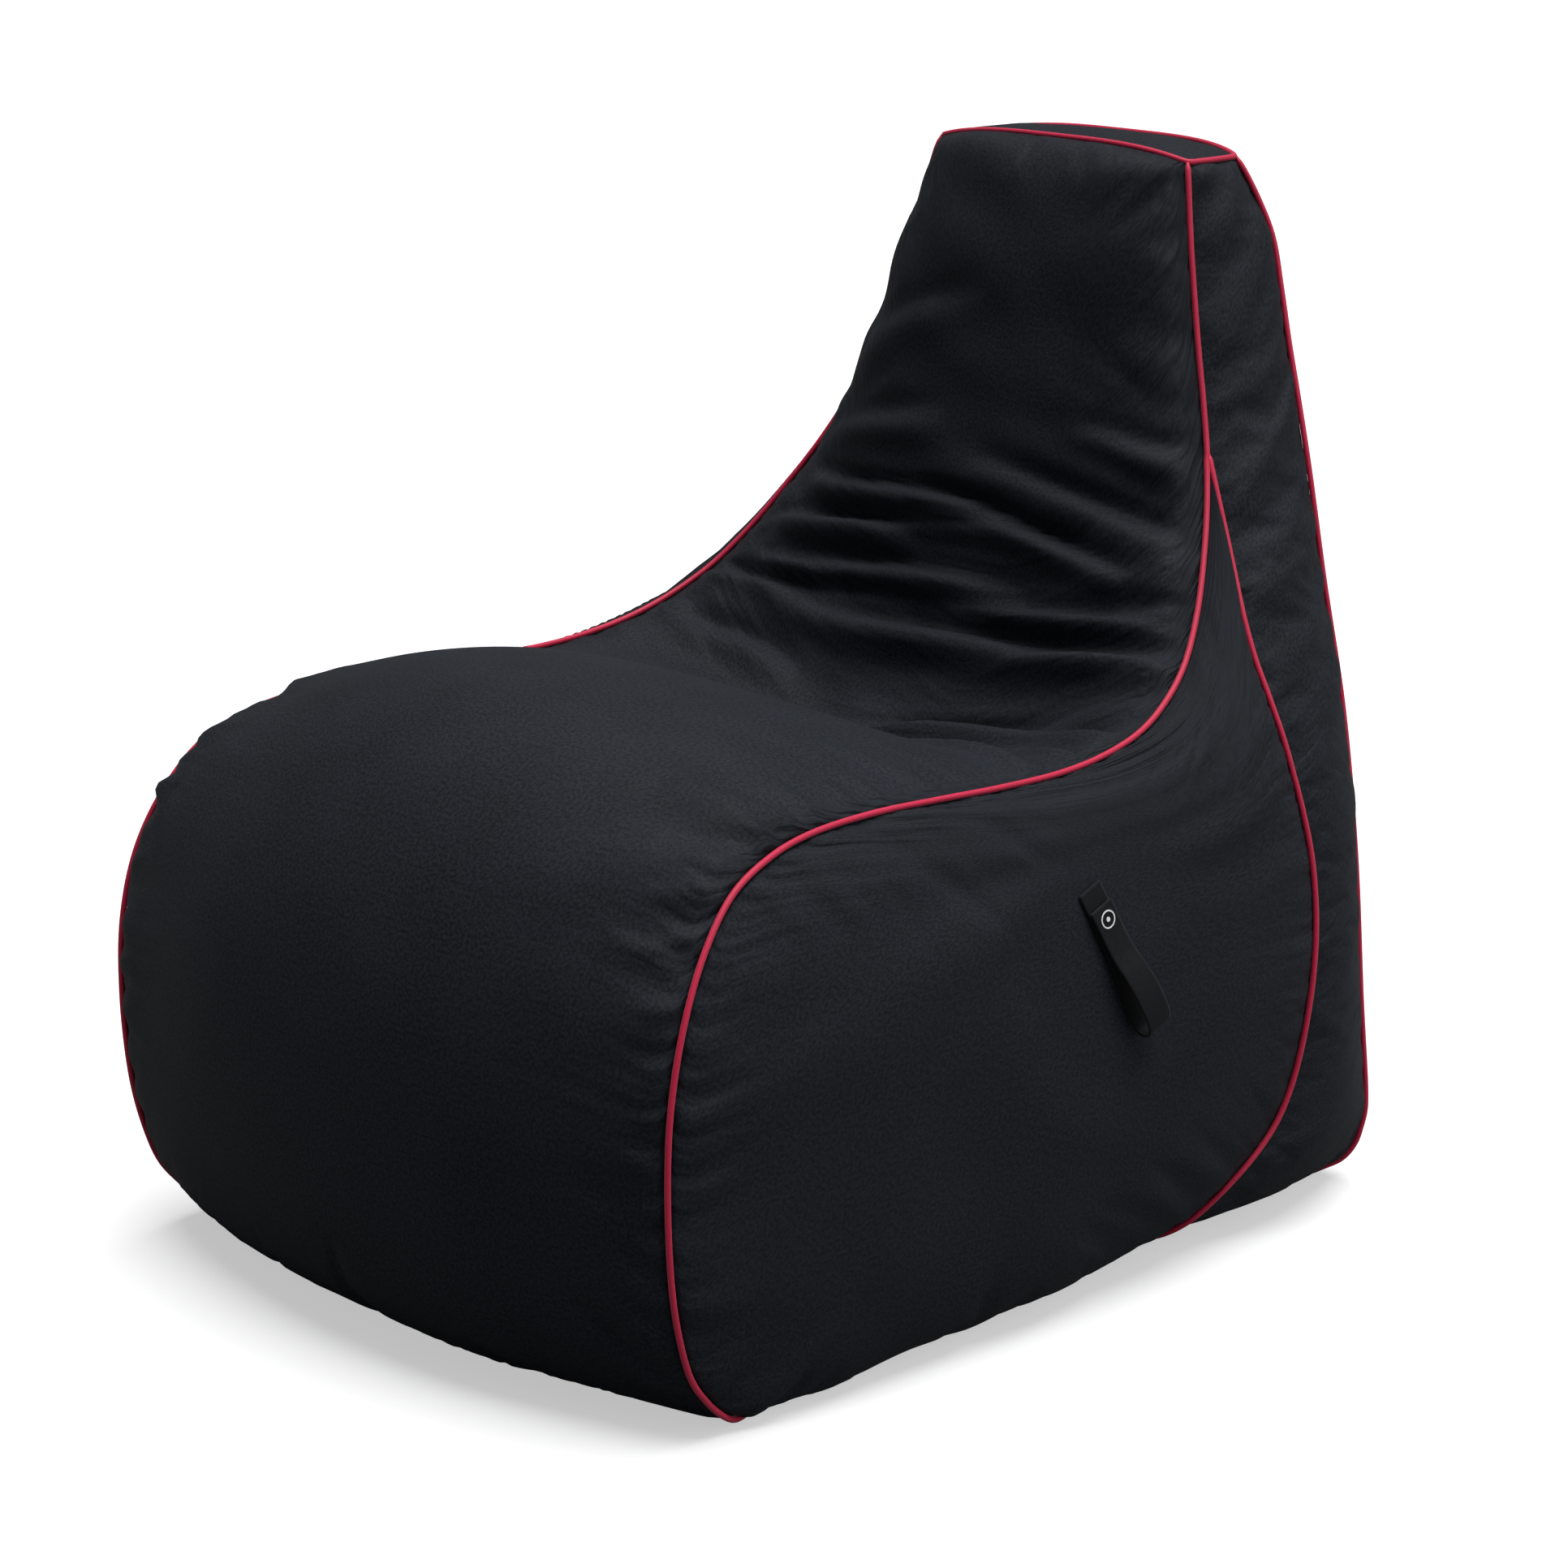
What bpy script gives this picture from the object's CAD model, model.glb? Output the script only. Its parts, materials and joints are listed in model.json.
"""The looks of the bean bag chair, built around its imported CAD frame.

Metres, +Z up, the sitter faces -Y, and "right" is the +X side. Every cover panel is a fine grid of points over
rows that climb from the floor (row 0) to the top of the headrest (row UP), between seam lines that are read from
the frame's piping. Folds and puckers are raised on the grids, and a cloth simulation with air pressure inside then
settles the whole cover with its seams held.
"""

import json
import math

import bmesh
import bpy
import numpy as np
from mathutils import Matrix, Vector


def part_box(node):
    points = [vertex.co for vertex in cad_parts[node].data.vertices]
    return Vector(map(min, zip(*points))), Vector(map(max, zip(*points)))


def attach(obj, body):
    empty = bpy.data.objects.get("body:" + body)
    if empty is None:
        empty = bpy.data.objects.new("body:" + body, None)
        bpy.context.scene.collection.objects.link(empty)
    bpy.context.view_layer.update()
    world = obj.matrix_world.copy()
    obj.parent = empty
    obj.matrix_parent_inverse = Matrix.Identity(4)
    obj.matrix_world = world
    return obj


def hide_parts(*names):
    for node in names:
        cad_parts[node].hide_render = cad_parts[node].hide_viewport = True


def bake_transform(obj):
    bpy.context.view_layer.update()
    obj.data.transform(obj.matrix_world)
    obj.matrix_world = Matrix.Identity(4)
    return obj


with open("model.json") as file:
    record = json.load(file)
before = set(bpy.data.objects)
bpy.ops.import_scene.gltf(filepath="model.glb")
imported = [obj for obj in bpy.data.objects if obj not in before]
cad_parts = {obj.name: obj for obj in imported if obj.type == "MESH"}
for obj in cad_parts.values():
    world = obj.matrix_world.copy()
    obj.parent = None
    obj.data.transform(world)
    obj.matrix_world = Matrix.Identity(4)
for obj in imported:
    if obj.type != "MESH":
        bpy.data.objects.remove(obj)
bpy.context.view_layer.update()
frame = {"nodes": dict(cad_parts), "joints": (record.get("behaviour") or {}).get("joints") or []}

# ---- sizes ----
UP = 30  # rows from the floor to the top of the headrest
JUNCTION = 24  # the row where the side seam meets the front seam
ZIP_ROWS = (4.7798, 5.5448)  # the rows below and above the zip
CAD_ROWS = np.array([0, 1, 2, 3, 4, *ZIP_ROWS, *range(6, UP + 1)], float)
PIPING_END, SIDE_PIPING_END, SEAT_END = 29.83, 23.4, 29.88

CELL = 0.0068  # cells of the cover's grids
FABRIC = 0.0012
PIPING_RADIUS = 0.0025
SEAM_DIP = 0.0014  # the fabric dips under the piping


ALLOWANCE = 0.007  # a seam allowance inside the cover
LOWEST = 0.0015  # the cover stays this far above the floor
CREASE = 0.0042  # depth of the finest creases beside a seam

# ---- seam lines, read from the frame ----
def vertices(node):
    mesh = frame["nodes"][node].data
    points = np.empty(len(mesh.vertices) * 3)
    mesh.vertices.foreach_get("co", points)
    return np.unique(points.reshape(-1, 3).round(6), axis=0)


def cluster(points, reach):
    """The middle of each group of points that lie within reach of one another."""
    middles = []
    while len(points):
        near = np.linalg.norm(points - points[0], axis=1) < reach
        middles.append(points[near].mean(0))
        points = points[~near]
    return np.array(middles)


def walk(points):
    """Points in order along their line, from the lowest."""
    order = [int(points[:, 2].argmin())]
    while len(order) < len(points):
        gap = np.linalg.norm(points - points[order[-1]], axis=1)
        gap[order] = np.inf
        order.append(int(gap.argmin()))
    return points[order]


def smooth(rows, points):
    """The smooth line through points, as a function of the row."""
    slopes = np.gradient(points, rows, axis=0)

    def at(row):
        row = np.asarray(row, float)
        k = np.clip(np.searchsorted(rows, row, side="right") - 1, 0, len(rows) - 2)
        width = (rows[k + 1] - rows[k])[..., None]
        t = (row - rows[k])[..., None] / width
        from_a = (2 * t**3 - 3 * t**2 + 1) * points[k] + (t**3 - 2 * t**2 + t) * width * slopes[k]
        to_b = (3 * t**2 - 2 * t**3) * points[k + 1] + (t**3 - t**2) * width * slopes[k + 1]
        return from_a + to_b

    return at


def seam(node, last_row, end_row, end_point):
    """A seam's line, from its piping's rings and the point where it ends."""
    rings = walk(cluster(vertices(node), 2.6 * PIPING_RADIUS))
    rows = np.append(CAD_ROWS[CAD_ROWS < last_row - 0.05], last_row)
    end = end_point(rings[-1])
    return smooth(np.append(rows, end_row), np.vstack([rings, end]))


def nearest(points):
    return lambda point: points[np.linalg.norm(points - point, axis=1).argmin()]


top_rings = cluster(vertices("top_piping"), 2.6 * PIPING_RADIUS)
front_seam = seam("front_piping_right", PIPING_END, UP, nearest(top_rings))
back_seam = seam("back_piping_right", PIPING_END, UP, nearest(top_rings))
side_seam = seam("side_piping_right", SIDE_PIPING_END, JUNCTION, lambda _: front_seam(JUNCTION))
seat_points = vertices("seat_panel")
middle_rings = walk(cluster(seat_points[np.abs(seat_points[:, 0]) < 1e-4], FABRIC * 2.1))
seat_middle = smooth(np.append(CAD_ROWS[CAD_ROWS < SEAT_END], SEAT_END), middle_rings)


# ---- the cover's surfaces on the right side, u from 0 to 1 ----
def ramp(x, low, high):
    t = np.clip((x - low) / (high - low), 0, 1)
    return t * t * (3 - 2 * t)


def mixed(a, b, share):
    share = np.asarray(share)[..., None]
    return a * (1 - share) + b * share


def crowned(edge, middle, u, power):
    """Across the chair from the left seam to the right one, through the middle line."""
    reach = 2 * u - 1
    lift = 1 - np.abs(reach) ** power
    point = mixed(edge, middle, lift)
    point[..., 0] = edge[..., 0] * reach
    return point


def head_power(row):
    return 2.1 + 1.3 * ramp(row, JUNCTION - 5, JUNCTION + 1)


def seat_surface(u, row):
    return crowned(front_seam(row), seat_middle(row), u, head_power(row))


def back_surface(u, row):
    edge = back_seam(row)
    middle = edge.copy()
    middle[..., 1] += 0.022 * ramp(edge[..., 2], 0.09, 0.33)
    middle[..., 2] += 0.008 * ramp(row, UP - 5, UP)
    return crowned(edge, middle, u, head_power(row))


def side_surface(u, row):
    v = np.clip(row / JUNCTION, 0, 1)
    point = mixed(front_seam(row), side_seam(row), u)
    bulge = (1 - np.abs(2 * u - 1) ** 2.8) * (1 - np.abs(2 * v**0.8 - 1) ** 2.6)
    point[..., 0] += 0.03 * bulge
    return point


def gusset_surface(u, row):
    low = row < JUNCTION
    front = np.where(low[..., None], side_seam(np.minimum(row, JUNCTION)), front_seam(row))
    back = back_seam(row)
    fade = np.minimum(np.minimum(1, row / 6), (UP - row) / 2 + 0.3)
    point = mixed(front, back, u)
    point[..., 0] += 0.12 * np.linalg.norm(back - front, axis=-1) * np.sin(np.pi * u) * fade
    return point


def top_surface(u, depth):
    """Over the headrest, from the seat panel's edge (depth 0) to the back panel's (depth 1)."""
    row = np.full_like(u, UP)
    reach = 2 * u - 1
    end = gusset_surface(depth, row)[..., 0] - mixed(front_seam(row), back_seam(row), depth)[..., 0]
    point = mixed(seat_surface(u, row), back_surface(u, row), depth)
    point[..., 0] += end * reach
    point[..., 2] += 0.002 * np.sin(np.pi * depth) * (1 - reach**2)
    return point


# ---- grids ----
def even_rows(low, high):
    """Rows a cell apart where the seams and the seat's middle line are longest."""
    rows = np.linspace(low, high, 400)
    lines = [front_seam(rows), seat_middle(rows), side_seam(np.minimum(rows, JUNCTION)), back_seam(rows)]
    steps = [np.linalg.norm(np.diff(line, axis=0), axis=1) for line in lines]
    run = np.append(0, np.cumsum(np.max(steps, axis=0)))
    return np.interp(np.linspace(0, run[-1], max(2, round(run[-1] / CELL))), run, rows)


def patch(surface, us, rows):
    u, row = np.meshgrid(us, rows)
    return surface(u, row)


def normals(grid):
    n = np.cross(np.gradient(grid, axis=1), np.gradient(grid, axis=0))
    return n / np.maximum(np.linalg.norm(n, axis=-1, keepdims=True), 1e-12)


def distances(grid):
    """How far each point is from the left edge, the right edge and the lowest row, along the fabric."""
    over = np.linalg.norm(np.diff(grid, axis=1), axis=-1)
    left = np.pad(np.cumsum(over, axis=1), ((0, 0), (1, 0)))
    up = np.linalg.norm(np.diff(grid, axis=0), axis=-1)
    low = np.pad(np.cumsum(up, axis=0), ((1, 0), (0, 0)))
    return left, left[:, -1:] - left, low


low_rows = even_rows(0, ZIP_ROWS[0])
slot_rows = even_rows(*ZIP_ROWS)
side_rows = even_rows(ZIP_ROWS[1], JUNCTION)
head_rows = even_rows(JUNCTION, UP)
all_rows = np.concatenate([low_rows, slot_rows[1:], side_rows[1:], head_rows[1:]])


# ---- relief: puffed edges, folds and puckers, all in metres along and across the fabric ----
def waves(x, y, seed, shortest, longest, count=14):
    """Smooth unevenness between about -1 and 1, with crests between two wavelengths apart."""
    random = np.random.default_rng(seed)
    total = np.zeros_like(x)
    for _ in range(count):
        turn = random.uniform(0, np.pi)
        pitch = random.uniform(shortest, longest)
        phase = random.uniform(0, 2 * np.pi)
        total += np.sin(2 * np.pi * (x * np.cos(turn) + y * np.sin(turn)) / pitch + phase)
    return total / math.sqrt(count)


def puckers(s, d, seed, spacing, height, length):
    """Small creases square to a seam. s runs along the seam, and d is how far the point lies from it."""
    random = np.random.default_rng(seed)
    total = np.zeros_like(s)
    place = s.min()
    while place < s.max():
        place += spacing * random.uniform(0.5, 1.6)
        wide = spacing * random.uniform(0.18, 0.36) * (1 + d / length)
        reach = length * random.uniform(0.4, 1.5)
        lean = random.uniform(-0.4, 0.4)
        ridge = np.exp(-(((s - place - lean * d) / wide) ** 2))
        total += random.uniform(0.25, 1) * ridge * np.exp(-d / reach)
    return height * total * (1 - np.exp(-d / 0.007))


def fold(x, y, start, end, bow, height, width):
    """A roll of slack fabric under a crease, along a bowed line from start to end."""
    start, end = np.array(start), np.array(end)
    along = end - start
    length = np.linalg.norm(along)
    along /= length
    t = ((x - start[0]) * along[0] + (y - start[1]) * along[1]) / length
    above = (y - start[1]) * along[0] - (x - start[0]) * along[1] - 4 * bow * t * (1 - t)
    taper = np.sin(np.pi * np.clip(t, 0, 1)) ** 0.6
    roll = np.exp(-((above / width + 0.8) ** 2))
    crease = np.exp(-((above / (0.6 * width) - 0.5) ** 2))
    return FOLD_DEPTH * height * taper * (roll - 0.9 * crease)


def puffed(d, height, reach):
    """A stuffed panel rises steeply beside its seam."""
    return height * (1 - np.exp(-d / reach))


FOLD_DEPTH = 1.9
# Folds of the seat panel in the hollow: start, end, bow, height and width. x is from the middle of the
# panel, y is up the fabric from the front hem.
SEAT_FOLDS = [
    ((-0.26, 1.150), (0.31, 1.150), 0.050, 0.0085, 0.019),
    ((-0.29, 1.140), (-0.02, 1.222), 0.014, 0.0060, 0.012),
    ((-0.02, 1.090), (0.32, 1.040), 0.030, 0.0070, 0.016),
    ((0.12, 0.995), (0.31, 0.930), 0.012, 0.0050, 0.013),
    ((-0.20, 1.290), (0.02, 1.318), 0.012, 0.0065, 0.012),
    ((-0.22, 1.236), (-0.04, 1.284), 0.012, 0.0065, 0.012),
    ((-0.21, 1.205), (0.10, 1.246), 0.022, 0.0070, 0.013),
    ((-0.06, 1.322), (0.20, 1.250), 0.018, 0.0070, 0.012),
    ((0.00, 1.356), (0.25, 1.262), 0.022, 0.0050, 0.014),
    ((-0.27, 1.090), (-0.12, 1.120), 0.010, 0.0045, 0.016),
    ((-0.18, 1.350), (-0.04, 1.392), 0.006, 0.0032, 0.016),
    ((-0.05, 1.215), (0.27, 1.205), 0.020, 0.0035, 0.014),
    ((0.10, 1.180), (0.31, 1.135), 0.012, 0.0040, 0.010),
    ((-0.18, 1.262), (0.12, 1.292), 0.018, 0.0035, 0.009),
    ((0.06, 1.228), (0.28, 1.180), 0.014, 0.0035, 0.009),
    ((-0.23, 1.190), (-0.10, 1.222), 0.006, 0.0038, 0.009),
    ((0.10, 1.400), (0.22, 1.350), 0.006, 0.0030, 0.013),
    ((-0.16, 1.440), (-0.01, 1.500), 0.010, 0.0026, 0.018),
    ((-0.02, 1.075), (0.22, 1.100), 0.016, 0.0040, 0.011),
    ((0.16, 1.030), (0.32, 0.985), 0.008, 0.0040, 0.009),
]


def seat_relief(left, right, low, row):
    x = (left - right) / 2
    y = np.repeat(low[:, low.shape[1] // 2][:, None], low.shape[1], 1)
    head = ramp(y, 1.28, 1.42)
    hollow = ramp(y, 0.92, 1.08) * (1 - ramp(y, 1.34, 1.44))
    upper = ramp(y, 1.02, 1.25)
    lift = puffed(left, 0.001 + 0.017 * upper, 0.016)
    lift += puffed(right, 0.001 + 0.003 * head, 0.014)
    for each in SEAT_FOLDS:
        lift += fold(x, y, *each)
    front = ramp(y, 0.1, 0.2) * (1 - ramp(y, 0.68, 0.8))
    corner = ramp(y, 0.38, 0.46) * (1 - ramp(y, 0.6, 0.68))
    lift += (0.45 * front + corner) * puckers(y, right, 11, 0.031, 0.021, 0.05)
    lift += (0.45 * front + corner) * puckers(y, left, 12, 0.031, 0.018, 0.045)
    lift += (0.25 + hollow + 0.4 * head) * puckers(y, right, 14, 0.038, 0.007, 0.07)
    lift += (0.15 + 0.5 * hollow) * (1 - 0.8 * head) * puckers(y, left, 13, 0.038, 0.009, 0.06)
    lift += hollow * 0.0016 * waves(x * 0.35, y, 15, 0.03, 0.06)
    slant = y + 0.55 * x
    lift += head * 0.0022 * waves(x * 0.4 - 0.2 * y, slant, 16, 0.05, 0.13)
    hem = np.exp(-low / 0.03)
    lift += (1 - hem) * 0.0012 * waves(x, y, 17, 0.14, 0.3)
    return lift


def side_relief(left, right, low, row, seed):
    """The low side panel: left is the distance from the front seam, right from the side seam."""
    lift = puffed(left, 0.001, 0.014)
    lift += 0.8 * puckers(low, left, seed, 0.031, 0.012, 0.045)
    lift += 0.5 * puckers(low, right, seed + 1, 0.034, 0.004, 0.04)
    lift += 0.0016 * waves(left, low, seed + 2, 0.12, 0.28) * (1 - np.exp(-np.minimum(left, right) / 0.05))
    return lift * (0.1 + 0.9 * ramp(left + right, 0.06, 0.22))


def gusset_relief(left, right, low, row, seed):
    upper = ramp(row, 12, 20)
    lift = puffed(right, 0.002 * upper, 0.012)
    lift += (0.3 + 0.7 * upper) * puckers(low, right, seed, 0.036, 0.009, 0.07)
    lift += (0.2 + 0.5 * upper) * puckers(low, left, seed + 1, 0.04, 0.009, 0.06)
    lift += 0.0012 * waves(left, low, seed + 2, 0.05, 0.12) * (0.3 + upper)
    return lift


def back_relief(left, right, low, row, seed):
    lift = puffed(left, 0.003, 0.014) + puffed(right, 0.003, 0.014)
    lift += puckers(low, left, seed, 0.034, 0.003, 0.05) + puckers(low, right, seed + 1, 0.034, 0.003, 0.05)
    lift += 0.002 * waves((left - right) / 2, low, seed + 2, 0.1, 0.26)
    return lift


# ---- the cover's grids, each seen from outside with u to the right and rows upwards ----
def flipped(grid):
    return grid[:, ::-1]


def mirrored(grid):
    return flipped(grid) * [-1, 1, 1]


def raised(grid, lift, open_edge=None):
    """A grid with its relief, held down at its edges. The edge named as open isn't sewn to piping."""
    left, right, low = distances(grid)
    high = low[-1:] - low
    edges = [left, right] + [d for name, d in (("low", low), ("high", high)) if name != open_edge]
    edge = np.minimum.reduce(edges)
    lift = lift * (1 - np.exp(-edge / 0.009)) - SEAM_DIP * np.exp(-edge / 0.004)
    return grid + normals(grid) * lift[..., None]


WIDE = np.linspace(0, 1, 97)
SIDEWAYS = np.linspace(0, 1, 85)
GUSSET = np.linspace(0, 1, 33)
ZIP_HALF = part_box("zip_tape_upper")[1].x
side_panel_rows = all_rows[all_rows <= JUNCTION - 0.02]
upper_rows = all_rows[all_rows >= ZIP_ROWS[1] - 1e-6]
lower_rows = all_rows[all_rows <= ZIP_ROWS[0] + 1e-6]


def back_patch(rows, edge_row):
    """A back panel whose edge at the zip runs on to meet the other panel's beyond the zip's two ends."""
    u, row = np.meshgrid(WIDE, rows)
    beyond = ramp(np.abs(2 * u - 1) * back_seam(edge_row)[0], ZIP_HALF - 0.004, ZIP_HALF + 0.03)
    near = np.exp(-np.abs(row - edge_row) / 0.5)
    middle = sum(ZIP_ROWS) / 2
    return flipped(back_surface(u, row + (middle - edge_row) * beyond * near))


def tucked(grid, from_low, depth=0.0022):
    """A panel's edge at the zip turned in."""
    low = distances(grid)[2]
    return -depth * np.exp(-(low if from_low else low[-1:] - low) / 0.004)


def cover_grids():
    rows = np.repeat(all_rows[:, None], len(WIDE), 1)
    seat = patch(seat_surface, WIDE, all_rows)
    shapes = {"seat_panel": raised(seat, seat_relief(*distances(seat), rows))}
    upper, lower = back_patch(upper_rows, ZIP_ROWS[1]), back_patch(lower_rows, ZIP_ROWS[0])
    lift = back_relief(*distances(upper), None, 31) + tucked(upper, True)
    shapes["back_panel"] = raised(upper, lift, "low")
    lift = back_relief(*distances(lower), None, 35) + tucked(lower, False)
    shapes["lower_back_panel"] = raised(lower, lift, "high")
    side = patch(side_surface, SIDEWAYS, side_panel_rows)
    gusset = patch(gusset_surface, GUSSET, all_rows)
    gusset_row = np.repeat(all_rows[:, None], len(GUSSET), 1)
    for name, seed, turn in (("right", 41, lambda g: g), ("left", 51, mirrored)):
        shapes[f"side_panel_{name}"] = turn(raised(side, side_relief(*distances(side), None, seed)))
        lift = gusset_relief(*distances(gusset), gusset_row, seed + 4)
        shapes[f"rear_gusset_{name}"] = turn(raised(gusset, lift))
    top = patch(top_surface, WIDE, np.linspace(0, 1, 25))
    left, right, low = distances(top)
    edge = np.minimum(np.minimum(left, right), np.minimum(low, low[-1:] - low))
    shapes["top_panel"] = raised(top, puffed(edge, 0.001, 0.01) + 0.0008 * waves(left, low, 61, 0.04, 0.1))
    return shapes


# ---- meshes ----
def piece(name, points, faces, material, body=None, uv=None, replaces=(), smooth_faces=True):
    mesh = bpy.data.meshes.new(name)
    mesh.from_pydata(np.asarray(points).tolist(), [], np.asarray(faces).tolist())
    mesh.polygons.foreach_set("use_smooth", [smooth_faces] * len(mesh.polygons))
    corners = np.empty(len(mesh.loops), int)
    mesh.loops.foreach_get("vertex_index", corners)
    layers = uv if isinstance(uv, dict) else {} if uv is None else {"fabric": uv}
    for layer, values in layers.items():
        mesh.uv_layers.new(name=layer)
        mesh.uv_layers[layer].data.foreach_set("uv", np.asarray(values)[corners].ravel())
    mesh.update()
    obj = bpy.data.objects.new(name, mesh)
    bpy.context.scene.collection.objects.link(obj)
    obj.data.materials.append(material)
    if body:
        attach(obj, body)
    if replaces:
        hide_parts(*replaces)
    return obj


def grid_faces(high, wide, closed=False):
    j, i = np.meshgrid(np.arange(high - 1), np.arange(wide if closed else wide - 1), indexing="ij")
    nxt = (i + 1) % wide
    a, b = j * wide + i, j * wide + nxt
    return np.stack([a, b, b + wide, a + wide], -1).reshape(-1, 4)


def border(high, wide):
    """The grid's outline, counterclockwise."""
    index = np.arange(high * wide).reshape(high, wide)
    return np.concatenate([index[0, :-1], index[:-1, -1], index[-1, :0:-1], index[:0:-1, 0]])


def cloth_faces(high, wide):
    """Faces of a sheet of two layers, the outer one first, joined round the outline."""
    count = high * wide
    outer = grid_faces(high, wide)
    inner = outer[:, ::-1] + count
    ring = border(high, wide)
    after = np.roll(ring, -1)
    walls = np.stack([ring, ring + count, after + count, after], -1)
    return np.concatenate([outer, inner, walls])


def fabric_uv(grid):
    left, right, low = distances(grid)
    return np.stack([(left - right) / 2, low], -1).reshape(-1, 2)


def seam_pull(name, grid):
    """How much the sewing creases the fabric, from 0 to 1, kept as the first number of a UV map."""
    left, right, low = distances(grid)
    reach = 0.036 * (1 + 0.4 * waves(low, 0 * low, 71, 0.03, 0.2))
    share = np.exp(-np.minimum(left, right) / np.maximum(reach, 0.01))
    share = share * (0.15 + 0.85 * ramp(left + right, 0.06, 0.22))
    if name == "seat_panel":
        y = np.repeat(low[:, low.shape[1] // 2][:, None], low.shape[1], 1)
        share = share + 0.22 * ramp(y, 0.98, 1.1) * (1 - ramp(y, 1.3, 1.42))
    elif name in ("top_panel", "base_panel"):
        share = share * 0
    return np.stack([np.clip(share, 0, 1), 0 * share], -1).reshape(-1, 2)


def sheet_size(grid):
    left, _, low = distances(grid)
    across, along = np.gradient(grid, axis=1), np.gradient(grid, axis=0)
    cells = np.linalg.norm(np.cross(across, along), axis=-1)
    return (float(left[:, -1].max()), float(low[-1].max())), float(cells[:-1, :-1].sum())


def turned_in(grid, columns=ALLOWANCE):
    """A panel with its seam allowances, which run from its left and right edges into the body."""
    out = normals(grid)
    sides = []
    for edge, inner in ((0, 1), (-1, -2)):
        inward = grid[:, inner] - grid[:, edge]
        inward /= np.linalg.norm(inward, axis=-1, keepdims=True) + 1e-9
        width = np.linalg.norm(grid[:, -1] - grid[:, 0], axis=-1, keepdims=True)
        reach = np.minimum(columns, 0.25 * width)
        sides.append(grid[:, edge] + reach * (inward - out[:, edge]) / math.sqrt(2))
    return np.concatenate([sides[0][:, None], grid, sides[1][:, None]], axis=1)


def cloth_panel(name, grid, material, thickness=FABRIC, pull=None):
    plain = grid
    if name != "base_panel":
        grid = turned_in(grid)
    under = grid - normals(grid) * thickness
    points = np.concatenate([grid.reshape(-1, 3), under.reshape(-1, 3)])
    uv = {"fabric": np.tile(fabric_uv(grid), (2, 1)), "pull": np.tile(seam_pull(name, grid), (2, 1))}
    faces = cloth_faces(*grid.shape[:2])
    obj = piece(name + "_cloth", points, faces, material, "cover", uv, (name,))
    flat, area = sheet_size(grid)
    area = min(area, 0.98 * flat[0] * flat[1])
    return obj


def frames(line, outward):
    """Two unit vectors square to a line at each of its points, the first as near outward as it can be."""
    along = np.gradient(line, axis=0)
    along /= np.linalg.norm(along, axis=1)[:, None]
    up = outward - (outward * along).sum(1)[:, None] * along
    up /= np.linalg.norm(up, axis=1)[:, None]
    return up, np.cross(along, up)


def tube(name, line, outward, radius, material, body, replaces, slot, closed=False, sides=14):
    up, across = frames(line, outward)
    turn = np.linspace(0, 2 * np.pi, sides, endpoint=False)
    ring = up[:, None] * np.cos(turn)[:, None] + across[:, None] * np.sin(turn)[:, None]
    radii = radius * np.ones(len(line))
    if not closed:
        radii[[0, -1]] *= 0.5
    points = (line[:, None] + ring * radii[:, None, None]).reshape(-1, 3)
    run = np.append(0, np.cumsum(np.linalg.norm(np.diff(line, axis=0), axis=1)))
    uv = np.stack(np.broadcast_arrays(turn * radius, run[:, None]), -1).reshape(-1, 2)
    faces = grid_faces(len(line), sides, closed=True)[:, ::-1].tolist()
    last = len(points) - sides
    if closed:
        faces += [[last + s, s, (s + 1) % sides, last + (s + 1) % sides] for s in range(sides)]
    else:
        faces += [list(range(sides)), list(range(len(points) - 1, last - 1, -1))]
    mesh_faces = [list(f) for f in faces]
    obj = bpy.data.objects.new(name, bpy.data.meshes.new(name))
    obj.data.from_pydata(points.tolist(), [], mesh_faces)
    obj.data.polygons.foreach_set("use_smooth", [True] * len(obj.data.polygons))
    corners = np.empty(len(obj.data.loops), int)
    obj.data.loops.foreach_get("vertex_index", corners)
    obj.data.uv_layers.new(name="fabric").data.foreach_set("uv", uv[corners].ravel())
    obj.data.materials.append(material)
    bpy.context.scene.collection.objects.link(obj)
    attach(obj, body)
    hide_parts(*replaces)
    return obj


# ---- materials ----
def new_material(name, colour, roughness, sheen=0.0, specular=0.3, metallic=0.0):
    """A material and its node tree, with the constants on the shader's own sockets."""
    material = bpy.data.materials.new(name)
    material.use_nodes = True
    tree = material.node_tree
    shader = tree.nodes["Principled BSDF"]
    shader.inputs["Base Color"].default_value = (*colour, 1)
    shader.inputs["Roughness"].default_value = roughness
    shader.inputs["Metallic"].default_value = metallic
    shader.inputs["Specular IOR Level"].default_value = specular
    shader.inputs["Sheen Weight"].default_value = sheen
    shader.inputs["Sheen Roughness"].default_value = 0.45
    return material, tree, shader


def node(tree, kind, **inputs):
    made = tree.nodes.new(kind)
    for key, value in inputs.items():
        socket = made.inputs[int(key[1:]) if key[0] == "_" else key]
        if isinstance(value, bpy.types.NodeSocket):
            tree.links.new(value, socket)
        else:
            socket.default_value = value
    return made


def arithmetic(tree, operation, a, b):
    made = node(tree, "ShaderNodeMath", _0=a, _1=b)
    made.operation = operation
    return made.outputs[0]


def fabric_place(tree):
    made = tree.nodes.new("ShaderNodeUVMap")
    made.uv_map = "fabric"
    return made.outputs[0]


def bands(tree, place, pitch, direction):
    """Height from 0 to 1 in bands one pitch apart."""
    made = node(tree, "ShaderNodeTexWave", Vector=place, Scale=math.pi / 10 / pitch, Distortion=0.0)
    made.bands_direction = direction
    return made.outputs["Fac"]


def noise(tree, place, scale, detail=2.0):
    return node(tree, "ShaderNodeTexNoise", Vector=place, Scale=scale, Detail=detail).outputs["Fac"]


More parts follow.
